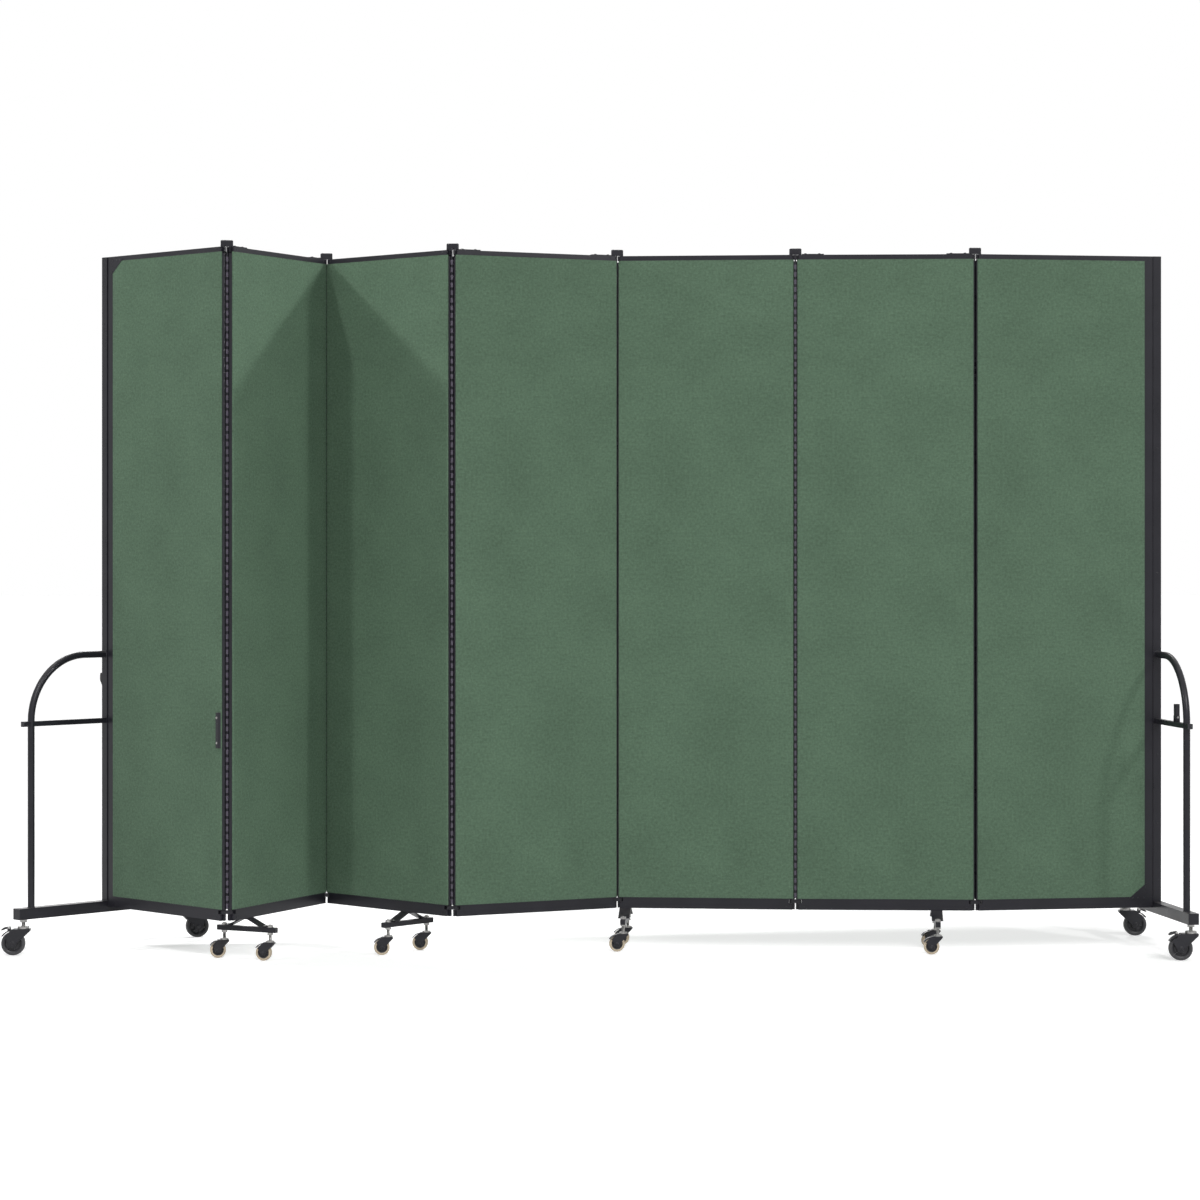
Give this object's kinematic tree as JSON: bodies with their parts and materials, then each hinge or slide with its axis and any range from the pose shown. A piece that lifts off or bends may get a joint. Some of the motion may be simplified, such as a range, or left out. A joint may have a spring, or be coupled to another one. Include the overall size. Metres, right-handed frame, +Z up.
{
  "type": "accordion folding partition",
  "caption": "Free-standing accordion partition of fabric panels with pin hinges, caster bars under the panels and hooped end frames on braked casters.",
  "frame": {"origin": "on the floor at the centre of the footprint, in the pictured pose", "axes": "+X to the right along the straight run of panels, +Y to the back, +Z up; the front faces -Y"},
  "size_m": [3.7448, 0.7427, 2.235],
  "materials": {
    "green_fabric": "woven polyester fabric over a stiff board",
    "black_frame": "satin black powder coat on tube",
    "black_hinge": "satin black",
    "caster_body": "dark swivel fork, zinc-plated stem",
    "cream_wheel": "cream tread on a dark hub",
    "black_wheel": "black tread on a dark hub",
    "black_plastic": "matte black moulding"
  },
  "bodies": {
    "panel_1": {"panel_1_frame": "black_frame", "panel_1_boards": "green_fabric", "left_end_frame": "black_frame", "latch_keeper": "black_plastic", "post_stop": "black_wheel"},
    "panel_2": {"panel_2_frame": "black_frame", "panel_2_boards": "green_fabric", "caster_bar_2": "black_frame"},
    "panel_3": {"panel_3_frame": "black_frame", "panel_3_boards": "green_fabric", "caster_bar_3": "black_frame"},
    "panel_4": {"panel_4_frame": "black_frame", "panel_4_boards": "green_fabric"},
    "panel_5": {"panel_5_frame": "black_frame", "panel_5_boards": "green_fabric", "caster_bar_5": "black_frame"},
    "panel_6": {"panel_6_frame": "black_frame", "panel_6_boards": "green_fabric", "caster_bar_6": "black_frame"},
    "panel_7": {"panel_7_frame": "black_frame", "panel_7_boards": "green_fabric", "right_end_frame": "black_frame"},
    "link_12": {"hinge_12": "black_hinge"},
    "link_23": {"hinge_23": "black_hinge"},
    "link_34": {"hinge_34": "black_hinge"},
    "link_45": {"hinge_45": "black_hinge"},
    "link_56": {"hinge_56": "black_hinge"},
    "link_67": {"hinge_67": "black_hinge"},
    "latch": {"fold_latch": "black_plastic"},
    "caster_2_front_swivel": {"caster_2_front_fork": "caster_body"},
    "caster_2_front_roller": {"caster_2_front_wheel": "cream_wheel"},
    "caster_2_back_swivel": {"caster_2_back_fork": "caster_body"},
    "caster_2_back_roller": {"caster_2_back_wheel": "cream_wheel"},
    "caster_3_front_swivel": {"caster_3_front_fork": "caster_body"},
    "caster_3_front_roller": {"caster_3_front_wheel": "cream_wheel"},
    "caster_3_back_swivel": {"caster_3_back_fork": "caster_body"},
    "caster_3_back_roller": {"caster_3_back_wheel": "cream_wheel"},
    "caster_5_front_swivel": {"caster_5_front_fork": "caster_body"},
    "caster_5_front_roller": {"caster_5_front_wheel": "cream_wheel"},
    "caster_5_back_swivel": {"caster_5_back_fork": "caster_body"},
    "caster_5_back_roller": {"caster_5_back_wheel": "cream_wheel"},
    "caster_6_front_swivel": {"caster_6_front_fork": "caster_body"},
    "caster_6_front_roller": {"caster_6_front_wheel": "cream_wheel"},
    "caster_6_back_swivel": {"caster_6_back_fork": "caster_body"},
    "caster_6_back_roller": {"caster_6_back_wheel": "cream_wheel"},
    "left_front_swivel": {"left_front_fork": "caster_body"},
    "left_front_roller": {"left_front_wheel": "black_wheel"},
    "left_front_pedal": {"left_front_brake": "black_plastic"},
    "left_back_swivel": {"left_back_fork": "caster_body"},
    "left_back_roller": {"left_back_wheel": "black_wheel"},
    "left_back_pedal": {"left_back_brake": "black_plastic"},
    "right_front_swivel": {"right_front_fork": "caster_body"},
    "right_front_roller": {"right_front_wheel": "black_wheel"},
    "right_front_pedal": {"right_front_brake": "black_plastic"},
    "right_back_swivel": {"right_back_fork": "caster_body"},
    "right_back_roller": {"right_back_wheel": "black_wheel"},
    "right_back_pedal": {"right_back_brake": "black_plastic"}
  },
  "joints": [
    {"name": "fold_34_near_4", "type": "hinge", "parent": "panel_4", "child": "link_34", "pos_m": [-0.4341, -0.23802, 0.13], "axis": [0, 0, -1], "range_deg": [-34.25, 55.75]},
    {"name": "fold_34_near_3", "type": "hinge", "parent": "link_34", "child": "panel_3", "pos_m": [-0.46177, -0.23376, 0.13], "axis": [0, 0, -1], "range_deg": [-34.25, 55.75]},
    {"name": "fold_23_near_3", "type": "hinge", "parent": "panel_3", "child": "link_23", "pos_m": [-0.85816, 0.13588, 0.13], "axis": [0, 0, 1], "range_deg": [-53.25, 36.75]},
    {"name": "fold_23_near_2", "type": "hinge", "parent": "link_23", "child": "panel_2", "pos_m": [-0.88572, 0.1309, 0.13], "axis": [0, 0, 1], "range_deg": [-53.25, 36.75]},
    {"name": "fold_12_near_2", "type": "hinge", "parent": "panel_2", "child": "link_12", "pos_m": [-1.12756, -0.35415, 0.13], "axis": [0, 0, -1], "range_deg": [-54.25, 35.75]},
    {"name": "fold_12_near_1", "type": "hinge", "parent": "link_12", "child": "panel_1", "pos_m": [-1.15519, -0.35866, 0.13], "axis": [0, 0, -1], "range_deg": [-54.25, 35.75]},
    {"name": "fold_45_near_4", "type": "hinge", "parent": "panel_4", "child": "link_45", "pos_m": [0.0551, -0.00468, 0.13], "axis": [0, 0, -1], "range_deg": [-15.5, 74.5]},
    {"name": "fold_45_near_5", "type": "hinge", "parent": "link_45", "child": "panel_5", "pos_m": [0.08268, 0.00018, 0.13], "axis": [0, 0, -1], "range_deg": [-15.5, 74.5]},
    {"name": "fold_56_near_5", "type": "hinge", "parent": "panel_5", "child": "link_56", "pos_m": [0.62218, -0.05177, 0.13], "axis": [0, 0, 1], "range_deg": [-1.25, 88.75]},
    {"name": "fold_56_near_6", "type": "hinge", "parent": "link_56", "child": "panel_6", "pos_m": [0.65011, -0.05384, 0.13], "axis": [0, 0, 1], "range_deg": [-1.25, 88.75]},
    {"name": "fold_67_near_6", "type": "hinge", "parent": "panel_6", "child": "link_67", "pos_m": [1.19136, -0.08221, 0.13], "axis": [0, 0, -1], "range_deg": [0, 96]},
    {"name": "fold_67_near_7", "type": "hinge", "parent": "link_67", "child": "panel_7", "pos_m": [1.21932, -0.08075, 0.13], "axis": [0, 0, -1], "range_deg": [0, 96]},
    {"name": "caster_2_front_swivel", "type": "hinge", "parent": "panel_2", "child": "caster_2_front_swivel", "pos_m": [-1.01178, -0.3102, 0.08], "axis": [0, 0, 1], "continuous": true},
    {"name": "caster_2_front_roll", "type": "hinge", "parent": "caster_2_front_swivel", "child": "caster_2_front_roller", "pos_m": [-1.03158, -0.30741, 0.025], "axis": [-0.1392, -0.9903, 0], "continuous": true},
    {"name": "caster_2_back_swivel", "type": "hinge", "parent": "panel_2", "child": "caster_2_back_swivel", "pos_m": [-1.16213, -0.23524, 0.08], "axis": [0, 0, 1], "continuous": true},
    {"name": "caster_2_back_roll", "type": "hinge", "parent": "caster_2_back_swivel", "child": "caster_2_back_roller", "pos_m": [-1.18193, -0.23802, 0.025], "axis": [0.1392, -0.9903, 0], "continuous": true},
    {"name": "caster_3_front_swivel", "type": "hinge", "parent": "panel_3", "child": "caster_3_front_swivel", "pos_m": [-0.65363, -0.16971, 0.08], "axis": [0, 0, 1], "continuous": true},
    {"name": "caster_3_front_roll", "type": "hinge", "parent": "caster_3_front_swivel", "child": "caster_3_front_roller", "pos_m": [-0.67352, -0.1718, 0.025], "axis": [0.1045, -0.9945, 0], "continuous": true},
    {"name": "caster_3_back_swivel", "type": "hinge", "parent": "panel_3", "child": "caster_3_back_swivel", "pos_m": [-0.53905, -0.04684, 0.08], "axis": [0, 0, 1], "continuous": true},
    {"name": "caster_3_back_roll", "type": "hinge", "parent": "caster_3_back_swivel", "child": "caster_3_back_roller", "pos_m": [-0.559, -0.04544, 0.025], "axis": [-0.0698, -0.9976, 0], "continuous": true},
    {"name": "caster_5_front_swivel", "type": "hinge", "parent": "panel_5", "child": "caster_5_front_swivel", "pos_m": [0.08757, -0.08468, 0.08], "axis": [0, 0, 1], "continuous": true},
    {"name": "caster_5_front_roll", "type": "hinge", "parent": "caster_5_front_swivel", "child": "caster_5_front_roller", "pos_m": [0.0676, -0.08573, 0.025], "axis": [0.0523, -0.9986, 0], "continuous": true},
    {"name": "caster_5_back_swivel", "type": "hinge", "parent": "panel_5", "child": "caster_5_back_swivel", "pos_m": [0.10367, 0.08254, 0.08], "axis": [0, 0, 1], "continuous": true},
    {"name": "caster_5_back_roll", "type": "hinge", "parent": "caster_5_back_swivel", "child": "caster_5_back_roller", "pos_m": [0.08397, 0.08602, 0.025], "axis": [-0.1736, -0.9848, 0], "continuous": true},
    {"name": "caster_6_front_swivel", "type": "hinge", "parent": "panel_6", "child": "caster_6_front_swivel", "pos_m": [1.07912, -0.16044, 0.08], "axis": [0, 0, 1], "continuous": true},
    {"name": "caster_6_front_roll", "type": "hinge", "parent": "caster_6_front_swivel", "child": "caster_6_front_roller", "pos_m": [1.05913, -0.15975, 0.025], "axis": [-0.0349, -0.9994, 0], "continuous": true},
    {"name": "caster_6_back_swivel", "type": "hinge", "parent": "panel_6", "child": "caster_6_back_swivel", "pos_m": [1.08791, 0.00733, 0.08], "axis": [0, 0, 1], "continuous": true},
    {"name": "caster_6_back_roll", "type": "hinge", "parent": "caster_6_back_swivel", "child": "caster_6_back_roller", "pos_m": [1.06821, 0.00385, 0.025], "axis": [0.1736, -0.9848, 0], "continuous": true},
    {"name": "left_front_swivel", "type": "hinge", "parent": "panel_1", "child": "left_front_swivel", "pos_m": [-1.80113, -0.17375, 0.08], "axis": [0, 0, 1], "continuous": true},
    {"name": "left_front_roll", "type": "hinge", "parent": "left_front_swivel", "child": "left_front_roller", "pos_m": [-1.83313, -0.17375, 0.0375], "axis": [0, -1, 0], "continuous": true},
    {"name": "left_front_brake", "type": "hinge", "parent": "left_front_swivel", "child": "left_front_pedal", "pos_m": [-1.84614, -0.17375, 0.086], "axis": [0, -1, 0], "range_deg": [0, 12]},
    {"name": "left_back_swivel", "type": "hinge", "parent": "panel_1", "child": "left_back_swivel", "pos_m": [-1.3401, 0.28729, 0.08], "axis": [0, 0, 1], "continuous": true},
    {"name": "left_back_roll", "type": "hinge", "parent": "left_back_swivel", "child": "left_back_roller", "pos_m": [-1.31003, 0.29823, 0.0375], "axis": [-0.342, 0.9397, 0], "continuous": true},
    {"name": "left_back_brake", "type": "hinge", "parent": "left_back_swivel", "child": "left_back_pedal", "pos_m": [-1.29781, 0.30268, 0.086], "axis": [-0.342, 0.9397, 0], "range_deg": [0, 12]},
    {"name": "right_front_swivel", "type": "hinge", "parent": "panel_7", "child": "right_front_swivel", "pos_m": [1.85059, -0.31083, 0.08], "axis": [0, 0, 1], "continuous": true},
    {"name": "right_front_roll", "type": "hinge", "parent": "right_front_swivel", "child": "right_front_roller", "pos_m": [1.81861, -0.30971, 0.0375], "axis": [-0.0349, -0.9994, 0], "continuous": true},
    {"name": "right_front_brake", "type": "hinge", "parent": "right_front_swivel", "child": "right_front_pedal", "pos_m": [1.80562, -0.30926, 0.086], "axis": [-0.0349, -0.9994, 0], "range_deg": [0, 12]},
    {"name": "right_back_swivel", "type": "hinge", "parent": "panel_7", "child": "right_back_swivel", "pos_m": [1.74859, 0.33315, 0.08], "axis": [0, 0, 1], "continuous": true},
    {"name": "right_back_roll", "type": "hinge", "parent": "right_back_swivel", "child": "right_back_roller", "pos_m": [1.78058, 0.33426, 0.0375], "axis": [-0.0349, 0.9994, 0], "continuous": true},
    {"name": "right_back_brake", "type": "hinge", "parent": "right_back_swivel", "child": "right_back_pedal", "pos_m": [1.79357, 0.33472, 0.086], "axis": [-0.0349, 0.9994, 0], "range_deg": [0, 12]},
    {"name": "latch_turn", "type": "hinge", "parent": "panel_7", "child": "latch", "pos_m": [1.82722, -0.19202, 0.749], "axis": [0.1564, -0.9877, 0], "range_deg": [0, 90]}
  ]
}
